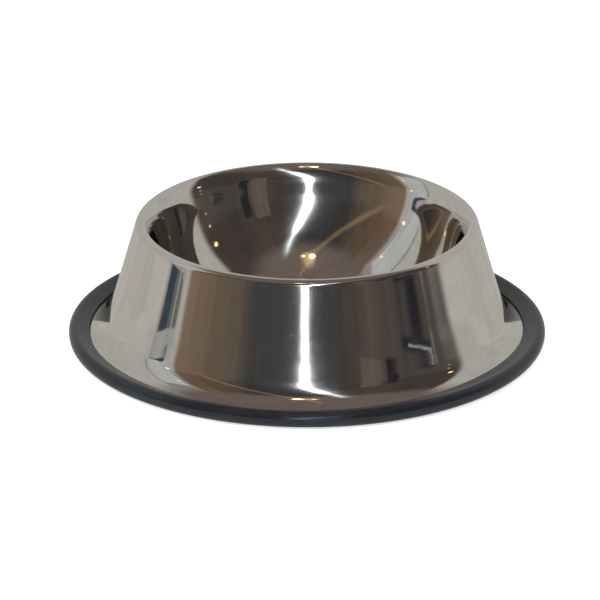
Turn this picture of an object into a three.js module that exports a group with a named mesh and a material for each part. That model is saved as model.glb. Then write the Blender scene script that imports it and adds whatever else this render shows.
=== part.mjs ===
import * as THREE from 'three';

// A non-tip pet bowl. One steel sheet is drawn into a basin, turned over at the rim into a
// flared skirt, and ends in a flange. A moulded rubber ring grips the flange's turned edge
// in a groove and is all that touches the floor.
// Millimetres and degrees, +Z up. The origin is on the floor, under the middle of the bowl.

// Sheet and rim. Bends are given as the radius of the polished face.
const sheetThickness = 0.6;
const overallHeight = 57.8;
const rimCrestRadius = 75.7;
const rimInnerBend = 2;
const rimOuterBend = 3.2;

// Basin. Drafts are measured from upright. The shoulder leads from the rim into the wall, and
// the knee from the wall towards the floor.
const shoulderDraft = 43;
const shoulderDepth = 3.6;
const shoulderBend = 15;
const wallDraft = 18.5;
const kneeDepth = 28;
const kneeBend = 75;
const lowerWallDraft = 43;
const floorBend = 34;
const floorHeight = 4;

// Skirt, which flares a little more below the waist, and flange
const skirtDraft = 16.2;
const waistHeight = 26;
const waistBend = 150;
const lowerSkirtDraft = 20;
const skirtFootBend = 15.5;
const flangeFall = 8.4;
const flangeEdgeRadius = 106.5;
const edgeTurnDepth = 1.6;
const edgeBend = 0.9;

// Rubber ring. Its upper lip thins inwards to an edge that lies on the flange. The reach is
// measured along the sheet from its cut edge.
const fitGap = 0.3;
const soleThickness = 1.4;
const lipReach = 7.5;
const lipEdgeThickness = 0.4;
const lipRise = 19;
const ringSideWall = 3.2;
const ringTopRound = 3;
const ringFootRound = 4;
const soleInnerRound = 1;

// Facets
const turnSteps = 60;
const chordError = 0.08;
const leastBendSteps = 4;
const sameSpot = 0.01;

// Sizes that follow from the ones above
const edgeFootHeight = soleThickness + fitGap;
const edgeTopHeight = edgeFootHeight + edgeTurnDepth;
const ringOuterRadius = flangeEdgeRadius + fitGap + ringSideWall;

const slope = (degrees) => Math.tan(THREE.MathUtils.degToRad(degrees));

const separate = (points) =>
  points.filter((point, i) => i === 0 || point.distanceTo(points[i - 1]) > sameSpot);

// A section line through corners given as [radius, height, bend]. Every bend is an arc
// tangent to both of its sides. Bends that would run into each other are shrunk to fit.
function bentLine(corners) {
  const spots = corners.map(([radius, height]) => new THREE.Vector2(radius, height));
  const sides = spots.slice(1).map((spot, i) => spot.clone().sub(spots[i]));
  const sweeps = corners.map((_, i) => {
    if (i === 0 || i === sides.length) return 0;
    return Math.atan2(sides[i - 1].cross(sides[i]), sides[i - 1].dot(sides[i]));
  });
  const reaches = corners.map(([, , bend = 0], i) => bend * Math.tan(Math.abs(sweeps[i]) / 2));
  const fits = sides.map((side, i) => Math.min(1, side.length() / (reaches[i] + reaches[i + 1])));

  const line = spots.flatMap((spot, i) => {
    if (reaches[i] === 0) return [spot];
    const reach = reaches[i] * Math.min(fits[i - 1], fits[i]);
    const bend = reach / Math.tan(Math.abs(sweeps[i]) / 2);
    const along = sides[i - 1].clone().normalize();
    const towardsCentre = new THREE.Vector2(-along.y, along.x).multiplyScalar(Math.sign(sweeps[i]));
    const start = spot.clone().addScaledVector(along, -reach);
    const centre = start.clone().addScaledVector(towardsCentre, bend);
    const largestStep = 2 * Math.acos(1 - Math.min(chordError / bend, 1));
    const steps = Math.max(leastBendSteps, Math.ceil(Math.abs(sweeps[i]) / largestStep));
    return Array.from({ length: steps + 1 }, (_, step) =>
      start.clone().rotateAround(centre, (sweeps[i] * step) / steps),
    );
  });
  return separate(line);
}

// The line at a fixed distance to the left of another one, mitred at its points.
function offsetLine(points, distance) {
  const normals = points.slice(1).map((point, i) => {
    const along = point.clone().sub(points[i]).normalize();
    return new THREE.Vector2(-along.y, along.x);
  });
  return points.map((point, i) => {
    const before = normals[Math.max(i - 1, 0)];
    const after = normals[Math.min(i, normals.length - 1)];
    const mitre = before.clone().add(after).divideScalar(1 + before.dot(after));
    return point.clone().addScaledVector(mitre, distance);
  });
}

function turned(section) {
  return new THREE.LatheGeometry(section, turnSteps).rotateX(Math.PI / 2);
}

function namedMesh(name, geometry, finish) {
  const mesh = new THREE.Mesh(geometry, new THREE.MeshStandardMaterial(finish));
  mesh.name = name;
  return mesh;
}

// The polished face of the sheet, from the middle of the basin's floor to the flange's edge.
// The basin and the skirt are each straight stretches that wide bends blend.
function polishedFace() {
  const innerCorner = rimCrestRadius - rimInnerBend * slope((90 - shoulderDraft) / 2);
  const outerCorner = rimCrestRadius + rimOuterBend * slope((90 - skirtDraft) / 2);
  const shoulderRadius = innerCorner - shoulderDepth * slope(shoulderDraft);
  const kneeHeight = overallHeight - kneeDepth;
  const kneeRadius = shoulderRadius - (kneeDepth - shoulderDepth) * slope(wallDraft);
  const floorCorner = kneeRadius - (kneeHeight - floorHeight) * slope(lowerWallDraft);
  const waistRadius = outerCorner + (overallHeight - waistHeight) * slope(skirtDraft);

  // The foot is where the lower skirt's line meets the flange's line.
  const flangeRise = slope(flangeFall);
  const flare = slope(lowerSkirtDraft);
  const flangeAtAxis = edgeTopHeight + flangeEdgeRadius * flangeRise;
  const footRadius = (waistRadius + (waistHeight - flangeAtAxis) * flare) / (1 - flangeRise * flare);
  const footHeight = flangeAtAxis - footRadius * flangeRise;

  return bentLine([
    [0, floorHeight],
    [floorCorner, floorHeight, floorBend],
    [kneeRadius, kneeHeight, kneeBend],
    [shoulderRadius, overallHeight - shoulderDepth, shoulderBend],
    [innerCorner, overallHeight, rimInnerBend],
    [outerCorner, overallHeight, rimOuterBend],
    [waistRadius, waistHeight, waistBend],
    [footRadius, footHeight, skirtFootBend],
    [flangeEdgeRadius, edgeTopHeight, edgeBend],
    [flangeEdgeRadius, edgeFootHeight],
  ]);
}

function steelBowl() {
  const face = polishedFace();
  const hiddenFace = offsetLine(face, -sheetThickness);
  const section = [...hiddenFace, ...face.reverse()];
  return namedMesh('steel_bowl', turned(section), { color: 0xb9b5ae, roughness: 0.1, metalness: 1 });
}

// The stretch of the polished face that the ring covers, from under the lip's edge outwards.
// It runs on past the sheet's cut edge by the fit gap.
function grippedFace() {
  const inwards = polishedFace().reverse();
  let next = 1;
  let reachLeft = lipReach;
  while (reachLeft > inwards[next].distanceTo(inwards[next - 1])) {
    reachLeft -= inwards[next].distanceTo(inwards[next - 1]);
    next += 1;
  }
  const along = inwards[next].clone().sub(inwards[next - 1]).normalize();
  const underLip = inwards[next - 1].clone().addScaledVector(along, reachLeft);
  const pastEdge = new THREE.Vector2(flangeEdgeRadius, edgeFootHeight - fitGap);
  return [underLip, ...inwards.slice(1, next).reverse(), pastEdge];
}

function rubberRing() {
  const gripped = grippedFace();
  const grooveTop = offsetLine(gripped, fitGap);
  const grooveFloor = offsetLine(gripped, -sheetThickness - fitGap);
  const lowerLip = grooveFloor[0];
  const upperLip = grooveTop[0];
  const lipTop = upperLip.y + lipEdgeThickness;
  const outside = bentLine([
    [lowerLip.x, lowerLip.y],
    [lowerLip.x, 0, soleInnerRound],
    [ringOuterRadius, 0, ringFootRound],
    [ringOuterRadius, lipTop + (ringOuterRadius - upperLip.x) * slope(lipRise), ringTopRound],
    [upperLip.x, lipTop],
    [upperLip.x, upperLip.y],
  ]);
  const section = separate([...outside, ...grooveTop, ...grooveFloor.reverse()]);
  return namedMesh('rubber_ring', turned(section), { color: 0x2c2e31, roughness: 0.6, metalness: 0 });
}

const petBowl = new THREE.Group();
petBowl.add(steelBowl(), rubberRing());

export default petBowl;
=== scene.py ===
import math

import bmesh
import bpy
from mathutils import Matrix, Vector


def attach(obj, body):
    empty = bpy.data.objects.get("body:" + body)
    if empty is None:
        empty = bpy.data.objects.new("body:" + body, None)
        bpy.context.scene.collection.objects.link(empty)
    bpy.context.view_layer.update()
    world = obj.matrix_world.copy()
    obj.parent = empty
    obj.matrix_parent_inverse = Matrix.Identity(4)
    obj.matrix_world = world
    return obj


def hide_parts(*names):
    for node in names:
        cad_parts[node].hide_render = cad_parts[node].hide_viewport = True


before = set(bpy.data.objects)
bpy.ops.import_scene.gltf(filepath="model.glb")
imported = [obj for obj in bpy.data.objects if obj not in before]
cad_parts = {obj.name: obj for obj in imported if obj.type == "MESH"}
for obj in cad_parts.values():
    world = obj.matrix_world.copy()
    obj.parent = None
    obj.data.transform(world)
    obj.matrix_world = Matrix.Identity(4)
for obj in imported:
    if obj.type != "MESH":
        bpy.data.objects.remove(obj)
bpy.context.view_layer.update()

mm = 0.001
print("frame loaded:", ", ".join(sorted(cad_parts)))


# shader maths

class Signal:
    def __init__(self, board, socket):
        self.board = board
        self.socket = socket

    def maths(self, operation, first, second=0.0):
        return self.board.node("ShaderNodeMath", {"operation": operation}, {0: first, 1: second})

    def __add__(self, other):
        return self.maths("ADD", self, other)

    def __radd__(self, other):
        return self.maths("ADD", other, self)

    def __sub__(self, other):
        return self.maths("SUBTRACT", self, other)

    def __rsub__(self, other):
        return self.maths("SUBTRACT", other, self)

    def __mul__(self, other):
        return self.maths("MULTIPLY", self, other)

    def __rmul__(self, other):
        return self.maths("MULTIPLY", other, self)

    def __truediv__(self, other):
        return self.maths("DIVIDE", self, other)

    def __rtruediv__(self, other):
        return self.maths("DIVIDE", other, self)

    def root(self):
        return self.maths("SQRT", self)

    def size(self):
        return self.maths("ABSOLUTE", self)


class Board:
    def __init__(self, tree):
        self.tree = tree
        tree.nodes.clear()

    # settings go in before sockets, because some of them change which sockets there are
    def node(self, kind, settings=None, sockets=None, output=0):
        made = self.tree.nodes.new(kind)
        for name, value in (settings or {}).items():
            if name == "stops":
                ramp = made.color_ramp.elements
                for place, colour in value[1:-1]:
                    ramp.new(place).color = (*colour, 1)
                for stop, (place, colour) in ((ramp[0], value[0]), (ramp[-1], value[-1])):
                    stop.position = place
                    stop.color = (*colour, 1)
            else:
                setattr(made, name, value)
        for name, value in (sockets or {}).items():
            if isinstance(value, Signal):
                self.tree.links.new(value.socket, made.inputs[name])
            else:
                made.inputs[name].default_value = value
        return Signal(self, made.outputs[output]) if len(made.outputs) else made

    def parts(self, vector):
        split = self.node("ShaderNodeSeparateXYZ", {}, {0: vector}).socket.node
        return (Signal(self, socket) for socket in split.outputs)

    # 0 below the edge and 1 above it, with a soft step of the given width
    def edge(self, value, place, width):
        return self.node(
            "ShaderNodeMapRange",
            {"interpolation_type": "SMOOTHSTEP"},
            {"Value": value, "From Min": place - width / 2, "From Max": place + width / 2},
        )

    def between(self, value, low, high, width):
        return self.edge(value, low, width) * (1 - self.edge(value, high, width))

    # 1 along a line and 0 away from it, from the distance to its middle
    def line(self, across, halfWidth, width):
        return 1 - self.edge(across.size(), halfWidth, width)

    def noise(self, vector, scale, detail, roughness=0.5, distortion=0.0):
        look = {"Scale": scale, "Detail": detail, "Roughness": roughness, "Distortion": distortion}
        return self.node("ShaderNodeTexNoise", {}, {"Vector": vector, **look})

    def blend(self, factor, first, second):
        return self.node(
            "ShaderNodeMix", {"data_type": "RGBA"}, {0: factor, 6: first, 7: second}, output=2
        )

    # one number as all three parts of a colour
    def grey(self, value):
        return self.node("ShaderNodeCombineXYZ", {}, {0: value, 1: value, 2: value})

    def shaded(self, colour, shade):
        return self.node("ShaderNodeVectorMath", {"operation": "MULTIPLY"}, {0: colour, 1: shade})

    def lit(self, colour, light, amount):
        sockets = {0: light, 1: self.grey(amount), 2: colour}
        return self.node("ShaderNodeVectorMath", {"operation": "MULTIPLY_ADD"}, sockets)

    def bump(self, height, distance):
        sockets = {"Height": height, "Strength": 1.0, "Distance": distance * mm}
        return self.node("ShaderNodeBump", {}, sockets)

    def surface(self, sockets):
        return self.node("ShaderNodeBsdfPrincipled", {}, sockets)


def newMaterial(name):
    material = bpy.data.materials.new(name)
    material.use_nodes = True
    return material, Board(material.node_tree)


# a start value and, of each named signal, as much as its weight says
def weighed(start, weights, signals):
    total = start
    for name, weight in weights.items():
        total = total + signals[name] * weight
    return total


# modelling helpers, which take millimetres and degrees

turning = {
    "steps": 256,
    "leastBendSteps": 4,
    "bendStepAngle": 5,
    "sameSpot": 0.001,
    "mergeDistance": 0.0005,
    "sharpAngle": 35,
}


def slope(degrees):
    return math.tan(math.radians(degrees))


def straightTo(bm, end, goal, step):
    cuts = max(1, math.ceil((goal - end.co).length / (step * mm)))
    stride = (goal - end.co) / cuts
    for _ in range(cuts):
        end = bmesh.ops.extrude_vert_indiv(bm, verts=[end])["verts"][0]
        bmesh.ops.translate(bm, verts=[end], vec=stride)
    return end


# a section line through corners of (radius, height, bend), each bend an arc that meets both
# of its sides without a kink
def bentLine(bm, corners, straightStep, bendStep):
    spots = [Vector((corner[0], 0, corner[1])) * mm for corner in corners]
    bends = [corner[2] * mm if len(corner) > 2 else 0 for corner in corners]
    end = bm.verts.new(spots[0])
    for i in range(1, len(spots) - 1):
        before = (spots[i] - spots[i - 1]).normalized()
        after = (spots[i + 1] - spots[i]).normalized()
        sweep = before.angle(after)
        left = 1 if before.x * after.z > before.z * after.x else -1
        start = spots[i] - before * bends[i] * math.tan(sweep / 2)
        if (start - end.co).length > turning["sameSpot"] * mm:
            end = straightTo(bm, end, start, straightStep)
        if bends[i]:
            centre = start + Vector((-before.z, 0, before.x)) * left * bends[i]
            steps = max(
                turning["leastBendSteps"],
                math.ceil(sweep * bends[i] / (bendStep * mm)),
                math.ceil(math.degrees(sweep) / turning["bendStepAngle"]),
            )
            arc = bmesh.ops.spin(
                bm, geom=[end], cent=centre, axis=(0, -left, 0), angle=sweep, steps=steps
            )
            end = arc["geom_last"][0]
    return straightTo(bm, end, spots[-1], straightStep)


def turn(bm):
    bmesh.ops.spin(
        bm,
        geom=bm.verts[:] + bm.edges[:],
        cent=(0, 0, 0),
        axis=(0, 0, 1),
        angle=2 * math.pi,
        steps=turning["steps"],
        use_merge=True,
    )
    bmesh.ops.remove_doubles(bm, verts=bm.verts, dist=turning["mergeDistance"] * mm)
    bmesh.ops.recalc_face_normals(bm, faces=bm.faces)


def finishPiece(bm, name, materials):
    for face in bm.faces:
        face.smooth = True
    mesh = bpy.data.meshes.new(name)
    bm.to_mesh(mesh)
    bm.free()
    mesh.set_sharp_from_angle(angle=math.radians(turning["sharpAngle"]))
    for material in materials:
        mesh.materials.append(material)
    piece = bpy.data.objects.new(name, mesh)
    bpy.context.scene.collection.objects.link(piece)
    print(name, "has", sum(len(face.vertices) - 2 for face in mesh.polygons), "triangles")
    return piece


# the steel sheet, in millimetres and degrees

bowl = {
    "sheetThickness": 0.6,
    "overallHeight": 57.8,
    "rimCrestRadius": 75.7,
    "rimInnerBend": 2,
    "rimOuterBend": 3.2,
    "shoulderDraft": 43,
    "shoulderDepth": 3.6,
    "shoulderBend": 15,
    "wallDraft": 18.5,
    "kneeDepth": 28,
    "kneeBend": 75,
    "lowerWallDraft": 43,
    "floorBend": 34,
    "floorHeight": 4,
    "skirtDraft": 16.2,
    "waistHeight": 26,
    "waistBend": 150,
    "lowerSkirtDraft": 20,
    "skirtFootBend": 15.5,
    "flangeFall": 8.4,
    "flangeEdgeRadius": 106.5,
    "edgeFootHeight": 1.7,
    "edgeTurnDepth": 1.6,
    "edgeBend": 0.9,
    "straightStep": 2.5,
    "bendStep": 1.5,
}


def polishedCorners():
    top = bowl["overallHeight"]
    shoulderHeight = top - bowl["shoulderDepth"]
    kneeHeight = top - bowl["kneeDepth"]
    wallDepth = bowl["kneeDepth"] - bowl["shoulderDepth"]
    lowerWallDepth = kneeHeight - bowl["floorHeight"]
    waistDrop = top - bowl["waistHeight"]

    crest = bowl["rimCrestRadius"]
    innerCorner = crest - bowl["rimInnerBend"] * slope((90 - bowl["shoulderDraft"]) / 2)
    outerCorner = crest + bowl["rimOuterBend"] * slope((90 - bowl["skirtDraft"]) / 2)
    shoulderRadius = innerCorner - bowl["shoulderDepth"] * slope(bowl["shoulderDraft"])
    kneeRadius = shoulderRadius - wallDepth * slope(bowl["wallDraft"])
    floorCorner = kneeRadius - lowerWallDepth * slope(bowl["lowerWallDraft"])
    waistRadius = outerCorner + waistDrop * slope(bowl["skirtDraft"])

    # the foot is where the lower skirt's line meets the flange's line
    edgeTop = bowl["edgeFootHeight"] + bowl["edgeTurnDepth"]
    rise, flare = slope(bowl["flangeFall"]), slope(bowl["lowerSkirtDraft"])
    flangeAtAxis = edgeTop + bowl["flangeEdgeRadius"] * rise
    flareReach = (bowl["waistHeight"] - flangeAtAxis) * flare
    footRadius = (waistRadius + flareReach) / (1 - rise * flare)
    return [
        (0, bowl["floorHeight"]),
        (floorCorner, bowl["floorHeight"], bowl["floorBend"]),
        (kneeRadius, kneeHeight, bowl["kneeBend"]),
        (shoulderRadius, shoulderHeight, bowl["shoulderBend"]),
        (innerCorner, top, bowl["rimInnerBend"]),
        (outerCorner, top, bowl["rimOuterBend"]),
        (waistRadius, bowl["waistHeight"], bowl["waistBend"]),
        (footRadius, flangeAtAxis - footRadius * rise, bowl["skirtFootBend"]),
        (bowl["flangeEdgeRadius"], edgeTop, bowl["edgeBend"]),
        (bowl["flangeEdgeRadius"], bowl["edgeFootHeight"]),
    ]


def steelBowl(polished, pressed):
    bm = bmesh.new()
    bentLine(bm, polishedCorners(), bowl["straightStep"], bowl["bendStep"])
    turn(bm)
    middle = min(bm.faces, key=lambda face: face.calc_center_median().xy.length)
    if middle.normal.z < 0:
        bmesh.ops.reverse_faces(bm, faces=bm.faces)

    # solidify keeps the polished faces first, and the ones it adds are the pressed side
    shown = len(bm.faces)
    bmesh.ops.solidify(bm, geom=bm.faces[:], thickness=bowl["sheetThickness"] * mm)
    bm.faces.ensure_lookup_table()
    for face in bm.faces[shown:]:
        face.material_index = 1
    print("sheet:", shown, "faces before its thickness,", len(bm.faces), "after")
    return finishPiece(bm, "steelBowl", [polished, pressed])


# the rubber ring, in millimetres and degrees

ring = {
    "fitGap": 0.3,
    "soleThickness": 1.4,
    "sideWall": 3.2,
    "footRound": 4,
    "topRound": 3,
    "soleInnerRound": 1,
    "lipRadius": 100.5,
    "lipFoot": 4.95,
    "lipEdgeThickness": 0.4,
    "lipEdgeRound": 0.15,
    "lipRise": 19,
    "lowerLipInset": 0.4,
    "lowerLipTop": 3.9,
    "grooveBendRadius": 102.6,
    "grooveBendTop": 4.25,
    "grooveBendFoot": 3.05,
    "grooveTop": 3.6,
    "grooveTopBend": 1.2,
    "grooveCorner": 3.4,
    "grooveCornerBend": 0.4,
    "grooveEdgeFoot": 2.5,
    "lipSlip": 1.8,
    "slipTowards": 50,
    "slipNarrowness": 7,
    "slipReach": 3.5,
    "slipLowest": 4.2,
    "straightStep": 1,
    "bendStep": 0.5,
}


def ringCorners():
    edge = bowl["flangeEdgeRadius"]
    outer = edge + ring["fitGap"] + ring["sideWall"]
    lip = ring["lipRadius"]
    lipTop = ring["lipFoot"] + ring["lipEdgeThickness"]
    lowerLip = lip - ring["lowerLipInset"]
    grooveInside = edge - bowl["sheetThickness"] - ring["fitGap"]
    grooveOutside = edge + ring["fitGap"]
    return [
        (lowerLip, ring["lowerLipTop"]),
        (lowerLip, 0, ring["soleInnerRound"]),
        (outer, 0, ring["footRound"]),
        (outer, lipTop + (outer - lip) * slope(ring["lipRise"]), ring["topRound"]),
        (lip, lipTop, ring["lipEdgeRound"]),
        (lip, ring["lipFoot"]),
        (ring["grooveBendRadius"], ring["grooveBendTop"]),
        (edge, ring["grooveTop"], ring["grooveTopBend"]),
        (grooveOutside, ring["grooveCorner"], ring["grooveCornerBend"]),
        (grooveOutside, ring["soleThickness"]),
        (grooveInside, ring["soleThickness"]),
        (grooveInside, ring["grooveEdgeFoot"]),
        (ring["grooveBendRadius"], ring["grooveBendFoot"]),
        (lowerLip, ring["lowerLipTop"]),
    ]


# the upper lip has crept inwards and up along the flange at the right front
def slipLip(bm):
    heading = math.radians(ring["slipTowards"])
    towards = Vector((math.sin(heading), -math.cos(heading)))
    reach = ring["slipReach"] * mm
    still = ring["lipRadius"] * mm + reach
    for vert in bm.verts:
        radius = vert.co.xy.length
        if radius < still and vert.co.z > ring["slipLowest"] * mm:
            facing = max(0, vert.co.xy.normalized().dot(towards)) ** ring["slipNarrowness"]
            slip = ring["lipSlip"] * mm * facing * min(1, (still - radius) / reach)
            vert.co.x *= 1 - slip / radius
            vert.co.y *= 1 - slip / radius
            vert.co.z += slip * slope(bowl["flangeFall"])


def rubberRing(material):
    bm = bmesh.new()
    bentLine(bm, ringCorners(), ring["straightStep"], ring["bendStep"])
    bmesh.ops.remove_doubles(bm, verts=bm.verts, dist=turning["sameSpot"] * mm)
    turn(bm)
    slipLip(bm)
    return finishPiece(bm, "rubberRing", [material])


# Steel, polished where it shows and left dull where the press left it. A noise is its scale,
# detail, roughness and distortion, and a patch its place and the width of its edge. Scratches
# are their turn in radians, their length and width in millimetres and their amount.

steelLook = {
    "colour": (0.78, 0.765, 0.74, 1),
    "smudgedColour": (0.71, 0.695, 0.67, 1),
    "dullColour": (0.56, 0.555, 0.54, 1),
    "stainedColour": (0.68, 0.67, 0.65, 1),
    "roughness": 0.028,
    "hazeRoughness": 0.20,
    "dullRoughness": 0.28,
    "haze": 0.014,
    "unevenness": 0.10,
    "skinUnevenness": 0.004,
    "basinLow": (22, 18),
    "basinRadius": (62, 10),
    "footRadius": (89, 5),
    "footTop": (15, 5),
    "smudges": (42, 6, 0.62, 0.6),
    "smudgeEdge": (0.57, 0.16),
    "smudgeTint": 0.5,
    "drops": (170, 3, 0.6, 0),
    "dropEdges": (0.655, 0.70, 0.03),
    "waves": (30, 0, 0.5, 0),
    "dents": (120, 2, 0.45, 0),
    "peel": (900, 1, 0.5, 0),
    "turningMarks": (1.0, 3, 0.7, 0),
    "turningFineness": 1400,
    "turningLength": 12,
    "stains": (26, 6, 0.65, 0),
    "grain": (1600, 2, 0.5, 0),
    "longScratches": ((0.3, 0.2, 0.5), 26, 0.35, 0.30),
    "shortScratches": ((1.1, -0.4, 2.1), 18, 0.3, 0.29),
    "drawingMarks": ((0.1, 1.2, 0.4), 30, 0.5, 0.34),
    "hazeFrom": {"smudges": 0.05, "lines": 0.22, "drops": 0.12, "basin": 0.09, "foot": 0.02},
    "roughnessFrom": {"smudges": 0.03, "turning": 0.02, "lines": 0.05, "basin": 0.02},
    "heightFrom": {"dents": 0.2, "peel": 0.018, "turning": 0.010, "lines": -0.008},
    "basinPeel": 0.02,
    "dullRoughnessFrom": {"stains": 0.14, "drawn": -0.08},
    "dullHeightFrom": {"stains": 6, "drawn": -0.6},
}


scratchNoise = (1.0, 2)
scratchSoftness = 0.08


# thin lines in one direction, where a stretched noise peaks
def scratches(board, place, turned, along, across, amount):
    stretched = board.node(
        "ShaderNodeMapping",
        {"vector_type": "TEXTURE"},
        {"Vector": place, "Rotation": turned, "Scale": (along * mm, across * mm, across * mm)},
    )
    return board.edge(board.noise(stretched, *scratchNoise), 1 - amount, scratchSoftness)


def inMetres(lengths):
    return [length * mm for length in lengths]


def polishedSteel():
    material, board = newMaterial("polishedSteel")
    place = board.node("ShaderNodeTexCoord", output=3)
    x, y, z = board.parts(place)
    radius = (x * x + y * y).root()

    # the buffing wheel reached the lower basin and the foot less well
    low = 1 - board.edge(z, *inMetres(steelLook["basinLow"]))
    low = low * (1 - board.edge(radius, *inMetres(steelLook["basinRadius"])))
    foot = board.edge(radius, *inMetres(steelLook["footRadius"]))
    foot = foot * (1 - board.edge(z, *inMetres(steelLook["footTop"])))

    fine = steelLook["turningFineness"]
    rings = {0: radius * fine, 1: z * fine, 2: x * steelLook["turningLength"]}
    rings = board.node("ShaderNodeCombineXYZ", {}, rings)
    smudges = board.noise(place, *steelLook["smudges"])
    longLines = scratches(board, place, *steelLook["longScratches"])
    shortLines = scratches(board, place, *steelLook["shortScratches"])
    marks = {
        "smudges": board.edge(smudges, *steelLook["smudgeEdge"]),
        "drops": board.between(board.noise(place, *steelLook["drops"]), *steelLook["dropEdges"]),
        "lines": longLines + shortLines,
        "turning": board.noise(rings, *steelLook["turningMarks"]),
        "dents": board.noise(place, *steelLook["dents"]),
        "peel": board.noise(place, *steelLook["peel"]),
        "basin": low,
        "foot": foot,
    }

    height = weighed(board.noise(place, *steelLook["waves"]), steelLook["heightFrom"], marks)
    height = height + marks["peel"] * low * steelLook["basinPeel"]
    tintAmount = marks["smudges"] * steelLook["smudgeTint"]
    shared = {
        "Base Color": board.blend(tintAmount, steelLook["colour"], steelLook["smudgedColour"]),
        "Metallic": 1,
        "Normal": board.bump(height, steelLook["unevenness"]),
    }
    roughness = weighed(steelLook["roughness"], steelLook["roughnessFrom"], marks)
    sharp = board.surface({**shared, "Roughness": roughness})
    hazy = board.surface({**shared, "Roughness": steelLook["hazeRoughness"]})
    haze = weighed(steelLook["haze"], steelLook["hazeFrom"], marks)
    both = board.node("ShaderNodeMixShader", {}, {0: haze, 1: sharp, 2: hazy})
    board.node("ShaderNodeOutputMaterial", {}, {"Surface": both})
    return material


# the underside keeps the grey skin of the rolled sheet, with drawing marks
def pressedSteel():
    material, board = newMaterial("pressedSteel")
    place = board.node("ShaderNodeTexCoord", output=3)
    stains = board.noise(place, *steelLook["stains"])
    grain = board.noise(place, *steelLook["grain"])
    marks = {
        "stains": stains,
        "drawn": scratches(board, place, *steelLook["drawingMarks"]),
    }
    height = weighed(grain, steelLook["dullHeightFrom"], marks)
    shader = board.surface({
        "Base Color": board.blend(stains, steelLook["dullColour"], steelLook["stainedColour"]),
        "Metallic": 1,
        "Roughness": weighed(steelLook["dullRoughness"], steelLook["dullRoughnessFrom"], marks),
        "Normal": board.bump(height, steelLook["skinUnevenness"]),
    })
    board.node("ShaderNodeOutputMaterial", {}, {"Surface": shader})
    return material


# the ring's rubber, with a fine grain, rubbed patches and a little dust

rubberLook = {
    "colour": (0.014, 0.017, 0.022, 1),
    "rubbedColour": (0.022, 0.026, 0.032, 1),
    "dustColour": (0.10, 0.10, 0.10, 1),
    "roughness": 0.19,
    "specularLevel": 0.48,
    "specularTint": (0.86, 0.94, 1.0, 1),
    "unevenness": 0.012,
    "patches": (34, 5, 0.6, 0),
    "patchEdge": (0.55, 0.25),
    "specks": (420, 3, 0.7, 0),
    "speckEdge": (0.70, 0.08),
    "dustOnBlack": 0.25,
    "dustOnRubbed": 0.5,
    "grain": (1100, 3, 0.5, 0),
    "scuffs": ((0.2, 0.1, 0.9), 9, 0.3, 0.30),
    "roughnessFrom": {"rubbed": 0.10, "dust": 0.3, "scuffs": 0.10},
    "heightFrom": {"patches": 4, "scuffs": -0.7},
}


def blackRubber():
    material, board = newMaterial("blackRubber")
    place = board.node("ShaderNodeTexCoord", output=3)
    patches = board.noise(place, *rubberLook["patches"])
    rubbed = board.edge(patches, *rubberLook["patchEdge"])
    dust = board.edge(board.noise(place, *rubberLook["specks"]), *rubberLook["speckEdge"])
    dust = dust * (rubberLook["dustOnBlack"] + rubberLook["dustOnRubbed"] * rubbed)
    marks = {
        "patches": patches,
        "rubbed": rubbed,
        "dust": dust,
        "scuffs": scratches(board, place, *rubberLook["scuffs"]),
    }
    colour = board.blend(rubbed, rubberLook["colour"], rubberLook["rubbedColour"])
    grain = board.noise(place, *rubberLook["grain"])
    height = weighed(grain, rubberLook["heightFrom"], marks)
    shader = board.surface({
        "Base Color": board.blend(dust, colour, rubberLook["dustColour"]),
        "Roughness": weighed(rubberLook["roughness"], rubberLook["roughnessFrom"], marks),
        "Specular IOR Level": rubberLook["specularLevel"],
        "Specular Tint": rubberLook["specularTint"],
        "Normal": board.bump(height, rubberLook["unevenness"]),
    })
    board.node("ShaderNodeOutputMaterial", {}, {"Surface": shader})
    return material


# the studio, in metres and degrees: floor, surroundings, lamps and camera

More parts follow.
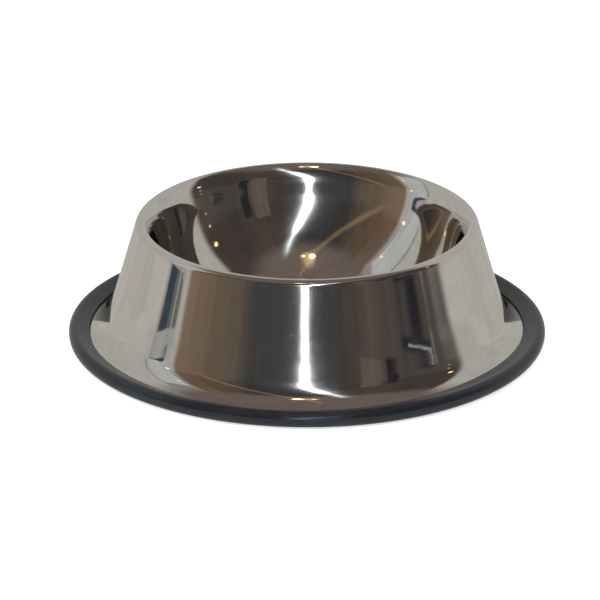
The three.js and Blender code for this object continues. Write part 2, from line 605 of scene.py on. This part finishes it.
# Directions are azimuth, 0 towards the camera and positive to the right, and elevation.
# Reflections alone see this room. The floor and the lamps light the rest.
# A patch of furniture is its colour, left, right, low, high and the softness of its edges,
# and a lamp dot its azimuth, elevation, size and strength.
studio = {
    "floorSize": 4.0,
    "floorSteps": 96,
    "floorColour": (0.8, 0.8, 0.8, 1),
    "floorGlow": 0.6,
    "white": (1, 1, 1, 1),
    "plainLight": (0.75, 0.75, 0.75, 1),
    "paperLow": (0.49, 0.462, 0.428, 1),
    "paperHigh": (0.46, 0.450, 0.415, 1),
    "paperTop": (53, 15),
    "paperMiddle": (0, 4),
    "paperFold": (-3, 0.5, 2),
    "foldShade": 0.07,
    "creases": (4.0, 5, 0.55, 1.2),
    "marks": (17, 3, 0.5, 0),
    "paperShade": (0.73, 0.38, 0.16),
    "nearPaper": (0.66, 0.66, 0.66, 1),
    "nearPaperTop": (-8, 8),
    "roomLeft": (-99, 2),
    "roomRight": (93, 7),
    "roomLean": 0.0022,
    "roomLeanFrom": (0, 60),
    "roomWidening": 0.2,
    "roomWidens": (9, 52, 8),
    "roomStops": [
        (-99, (0.36, 0.355, 0.34)),
        (-84, (0.40, 0.395, 0.375)),
        (-81, (0.50, 0.49, 0.46)),
        (-79.5, (0.23, 0.165, 0.115)),
        (-60, (0.165, 0.120, 0.082)),
        (-44, (0.125, 0.098, 0.076)),
        (-34, (0.056, 0.056, 0.056)),
        (12, (0.052, 0.057, 0.065)),
        (20, (0.060, 0.050, 0.046)),
        (40, (0.100, 0.079, 0.067)),
        (56, (0.074, 0.064, 0.060)),
        (92, (0.090, 0.072, 0.062)),
    ],
    "upperWall": (0.74, 0.69, 0.66, 1),
    "upperWallFrom": (19, 10),
    "ceiling": (0.156, 0.122, 0.105, 1),
    "ceilingEdge": (54, 12),
    "boards": (1.0, 5, 0.6, 0),
    "boardsAcross": 0.22,
    "boardsUp": 0.03,
    "roomShade": (0.45, 0.4, 0.7),
    "dark": (0.020, 0.021, 0.026, 1),
    "navy": (0.040, 0.058, 0.080, 1),
    "grey": (0.15, 0.145, 0.135, 1),
    "pale": (0.42, 0.41, 0.39, 1),
    "bright": (0.50, 0.51, 0.51, 1),
    "warm": (0.125, 0.100, 0.085, 1),
    "furniture": [
        ("navy", -97, -90.5, -6, 2.4, 1),
        ("grey", -90.5, -84.5, -6, 2.4, 1),
        ("pale", -88.2, -87.4, -6, 2.4, 0.5),
        ("bright", -110, -84, 7.4, 47, 2.4),
        ("navy", -99, -87, 6.5, 8.0, 0.5),
        ("dark", 46, 53, 13.5, 27, 1.4),
        ("warm", 31, 43.5, 14, 30, 1.6),
        ("dark", 57, 76, 6.6, 10.6, 4),
        ("dark", 64, 72, 1, 6.6, 5),
        ("pale", 61, 76, 8.6, 9.3, 1.0),
        ("grey", 76.6, 78.6, 3.4, 9.0, 1.2),
        ("grey", 83, 92, 1, 6.4, 6),
    ],
    "furnitureFlatness": 0.6,
    "lampColour": (1.0, 0.66, 0.30),
    "lampGlow": (-2, 62.6, 4.5, 0.45),
    "lampFlatness": 1.7,
    "lampSoftness": 0.8,
    "lampDots": [
        (-8, 62.6, 1.9, 9.0),
        (6, 62.4, 1.1, 4.0),
        (91, 27.5, 1.6, 3.0),
        (87, 18, 0.9, 1.2),
        (86, 11, 0.8, 0.9),
        (-85, 17, 1.4, 2.0),
        (-86, 40, 1.1, 1.2),
    ],
}

# the dark line of a frame at the paper's left edge, which leans with height
frameLine = {
    "azimuth": -98.2,
    "lean": 0.22,
    "line": (1.0, 1.4),
    "reach": (11, 56, 4),
    "strength": 0.6,
}

# The strip lamp beside the camera leans over, widens and fades as it rises. A lean is the
# elevation where it starts and its amount, and a widening or an end is its amount, its
# elevation and over how many degrees it comes.
strip = {
    "colour": (0.90, 0.96, 1.0),
    "strength": 14.0,
    "azimuth": -1.7,
    "leans": [(25, 0.33), (42, 0.24)],
    "leanSoftness": 3,
    "halfWidth": 1.25,
    "widenings": [(1.35, 17.5, 3), (2.2, 50, 27)],
    "ends": [(0.9, 42, 10), (0.1, 57, 12)],
    "foot": (-6, 10),
    "haloNarrowness": 0.02,
    "haloStrength": 0.06,
    "haloReach": (6, 46, 16),
}

# a warm lit beam that runs down from the ceiling lamps to the left, and bends there
beam = {
    "colour": (0.16, 0.098, 0.05),
    "slope": 0.62,
    "height": 65.4,
    "bend": 0.27,
    "bendFrom": (-20, 4),
    "line": (2.2, 4),
    "reach": (18, 80, 14),
}

lamps = [
    ("keyLamp", (-0.9, -0.8, 1.6), 1.2, 12),
    ("fillLamp", (1.4, 0.3, 1.2), 1.4, 6),
]

viewpoint = {
    "distance": 2.0,
    "elevation": 22.2,
    "sideways": -0.00324,
    "targetHeight": 0.0178,
    "lens": 259.2,
    "sensorWidth": 36,
}


def paleFloor():
    bm = bmesh.new()
    bmesh.ops.create_circle(
        bm, cap_ends=True, segments=studio["floorSteps"], radius=studio["floorSize"]
    )
    mesh = bpy.data.meshes.new("floor")
    bm.to_mesh(mesh)
    bm.free()
    floor = bpy.data.objects.new("floor", mesh)
    bpy.context.scene.collection.objects.link(floor)
    floor.visible_glossy = False
    material, board = newMaterial("paleFloor")
    seen = board.node("ShaderNodeLightPath", output=0)
    glow = {"Color": studio["white"], "Strength": studio["floorGlow"] * seen}
    glow = board.node("ShaderNodeEmission", {}, glow)
    paper = board.node("ShaderNodeBsdfDiffuse", {}, {"Color": studio["floorColour"]})
    both = board.node("ShaderNodeAddShader", {}, {0: glow, 1: paper})
    board.node("ShaderNodeOutputMaterial", {}, {"Surface": both})
    mesh.materials.append(material)


# the pale paper that the bowl stands on, swept up behind it
def sweptPaper(board, direction, elevation, creases):
    swept = board.edge(elevation, *studio["paperMiddle"])
    paper = board.blend(swept, studio["paperLow"], studio["paperHigh"])
    fold = board.between(elevation, *studio["paperFold"]) * studio["foldShade"]
    marks = board.noise(direction, *studio["marks"])
    plain, creased, marked = studio["paperShade"]
    shade = board.grey(plain + creased * creases + marked * marks + fold)
    paper = board.shaded(paper, shade)
    return board.blend(board.edge(elevation, *studio["paperTop"]), paper, studio["ceiling"])


# the room's walls and furniture on the camera's side
def furnishedRoom(board, azimuth, elevation, leaning, creases):
    stops = [((place + 180) / 360, colour) for place, colour in studio["roomStops"]]
    room = board.node("ShaderNodeValToRGB", {"stops": stops}, {0: (leaning + 180) / 360})
    upper = board.edge(elevation, *studio["upperWallFrom"])
    dimming = board.blend(upper, studio["white"], studio["upperWall"])
    room = board.shaded(room, dimming)
    room = board.blend(board.edge(elevation, *studio["ceilingEdge"]), room, studio["ceiling"])
    for name, left, right, low, high, soft in studio["furniture"]:
        softUp = soft * studio["furnitureFlatness"]
        place = board.between(azimuth, left, right, soft)
        place = place * board.between(elevation, low, high, softUp)
        room = board.blend(place, room, studio[name])
    upright = {0: azimuth * studio["boardsAcross"], 1: elevation * studio["boardsUp"]}
    upright = board.node("ShaderNodeCombineXYZ", {}, upright)
    boards = board.noise(upright, *studio["boards"])
    plain, creased, boarded = studio["roomShade"]
    return board.shaded(room, board.grey(plain + creased * creases + boarded * boards))


def addStrip(board, azimuth, elevation, colour):
    middle = strip["azimuth"]
    for start, amount in strip["leans"]:
        rise = elevation - start
        middle = middle + amount * (rise + (rise * rise + strip["leanSoftness"] ** 2).root())
    halfWidth = strip["halfWidth"]
    for amount, place, width in strip["widenings"]:
        halfWidth = halfWidth + amount * board.edge(elevation, place, width)
    off = (azimuth - middle) / halfWidth
    core = 1 / (1 + off * off)
    halo = 1 / (1 + off * off * strip["haloNarrowness"])
    reach = 0
    for amount, place, width in strip["ends"]:
        reach = reach + amount * (1 - board.edge(elevation, place, width))
    reach = reach * board.edge(elevation, *strip["foot"])
    light = core * core * reach * strip["strength"]
    haze = halo * halo * board.between(elevation, *strip["haloReach"])
    return board.lit(colour, strip["colour"], light + haze * strip["haloStrength"])


def addBeam(board, azimuth, elevation, colour):
    turnAt, width = beam["bendFrom"]
    bend = beam["bend"] * (azimuth - turnAt) * (1 - board.edge(azimuth, turnAt, width))
    across = azimuth * beam["slope"] - elevation + beam["height"] + bend
    light = board.line(across, *beam["line"]) * board.between(elevation, *beam["reach"])
    return board.lit(colour, beam["colour"], light)


# a soft spot of light in the surroundings, wider than it is high
def spot(board, azimuth, elevation, turnTo, lift, size, strength):
    across = (azimuth - turnTo) * math.cos(math.radians(lift))
    up = (elevation - lift) * studio["lampFlatness"]
    away = (across * across + up * up).root()
    return (1 - board.edge(away, size, size * studio["lampSoftness"])) * strength


def surroundings():
    world = bpy.data.worlds.new("surroundings")
    bpy.context.scene.world = world
    world.use_nodes = True
    board = Board(world.node_tree)
    direction = board.node("ShaderNodeTexCoord", output=0)
    x, y, z = board.parts(direction)
    azimuth = x.maths("ARCTAN2", x, y * -1) * math.degrees(1)
    elevation = z.maths("ARCSINE", z) * math.degrees(1)
    creases = board.noise(direction, *studio["creases"])

    # the walls on the right lean outwards as they rise, and the left one follows its frame
    lean = studio["roomLean"] * elevation * board.edge(azimuth, *studio["roomLeanFrom"])
    leaning = azimuth * (1 - lean)
    wider = studio["roomWidening"] * elevation * board.between(elevation, *studio["roomWidens"])
    side = board.edge(leaning + wider, *studio["roomLeft"])
    side = side * (1 - board.edge(leaning, *studio["roomRight"]))
    paper = sweptPaper(board, direction, elevation, creases)
    room = furnishedRoom(board, azimuth, elevation, leaning, creases)
    colour = board.blend(side, paper, room)

    across = azimuth + frameLine["lean"] * elevation - frameLine["azimuth"]
    dark = board.line(across, *frameLine["line"])
    dark = dark * board.between(elevation, *frameLine["reach"])
    colour = board.blend(dark * frameLine["strength"], colour, studio["grey"])

    # the table's paper in front of the bowl
    near = (1 - board.edge(elevation, *studio["nearPaperTop"])) * side
    colour = board.blend(near, colour, studio["nearPaper"])

    colour = addStrip(board, azimuth, elevation, colour)
    colour = addBeam(board, azimuth, elevation, colour)

    # warm lamps on the ceiling and walls
    warm = spot(board, azimuth, elevation, *studio["lampGlow"])
    for dot in studio["lampDots"]:
        warm = warm + spot(board, azimuth, elevation, *dot)
    colour = board.lit(colour, studio["lampColour"], warm)

    path = board.node("ShaderNodeLightPath").socket.node.outputs
    camera, glossy = Signal(board, path["Is Camera Ray"]), Signal(board, path["Is Glossy Ray"])
    transmission = Signal(board, path["Is Transmission Ray"])
    plain = board.blend(camera + transmission, studio["plainLight"], studio["white"])
    seen = board.blend(glossy, plain, colour)
    background = board.node("ShaderNodeBackground", {}, {"Color": seen, "Strength": 1})
    board.node("ShaderNodeOutputWorld", {}, {"Surface": background})


def softLamp(name, place, size, power):
    lamp = bpy.data.lights.new(name, "AREA")
    lamp.shape = "DISK"
    lamp.size = size
    lamp.energy = power
    thing = bpy.data.objects.new(name, lamp)
    thing.location = place
    thing.rotation_euler = (-Vector(place)).to_track_quat("-Z", "Y").to_euler()
    thing.visible_glossy = False
    bpy.context.scene.collection.objects.link(thing)


def makeCamera():
    distance, elevation = viewpoint["distance"], math.radians(viewpoint["elevation"])
    back, up = distance * math.cos(elevation), distance * math.sin(elevation)
    place = Vector((viewpoint["sideways"], -back, up))
    target = Vector((viewpoint["sideways"], 0, viewpoint["targetHeight"]))
    camera = bpy.data.objects.new("camera", bpy.data.cameras.new("camera"))
    camera.data.lens = viewpoint["lens"]
    camera.data.sensor_width = viewpoint["sensorWidth"]
    camera.location = place
    camera.rotation_euler = (target - place).to_track_quat("-Z", "Y").to_euler()
    bpy.context.scene.collection.objects.link(camera)
    bpy.context.scene.camera = camera


makeCamera()
paleFloor()
surroundings()
for name, place, size, power in lamps:
    softLamp(name, place, size, power)
bpy.context.scene.view_settings.view_transform = "Standard"
print("studio ready")

bowlPiece = steelBowl(polishedSteel(), pressedSteel())
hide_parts("steel_bowl")
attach(bowlPiece, "root")

ringPiece = rubberRing(blackRubber())
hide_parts("rubber_ring")
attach(ringPiece, "root")
